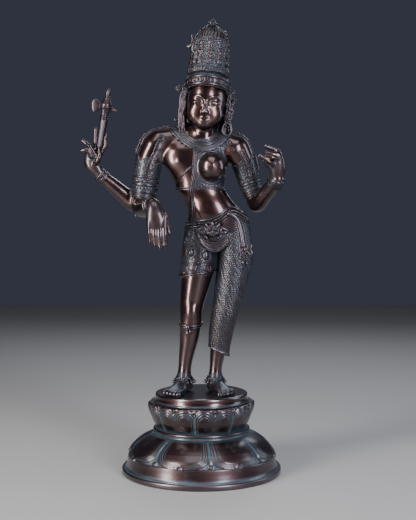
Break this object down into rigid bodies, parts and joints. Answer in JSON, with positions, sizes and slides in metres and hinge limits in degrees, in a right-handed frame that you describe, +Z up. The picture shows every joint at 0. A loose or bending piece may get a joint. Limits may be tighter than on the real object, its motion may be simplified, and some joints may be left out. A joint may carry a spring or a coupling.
{
  "type": "ardhanarishvara statue",
  "caption": "Standing bronze figure, half male and half female, in a tall crown, holding an axe, on a round double lotus pedestal; an ornament for a shelf or an altar",
  "frame": {"origin": "centre of the pedestal's round underside", "axes": "+Z up, -Y the way the figure faces, +X towards the figure's proper left"},
  "size_m": [0.3053, 0.242, 0.685],
  "materials": {
    "figure_bronze": "dark brown bronze, polished on the skin, with blue-green patina in the carving",
    "pedestal_bronze": "dark brown bronze, polished on the petals, with blue-green patina in the incised lines"
  },
  "bodies": {
    "root": {"figure": "figure_bronze", "lotus_pedestal": "pedestal_bronze"}
  },
  "joints": []
}
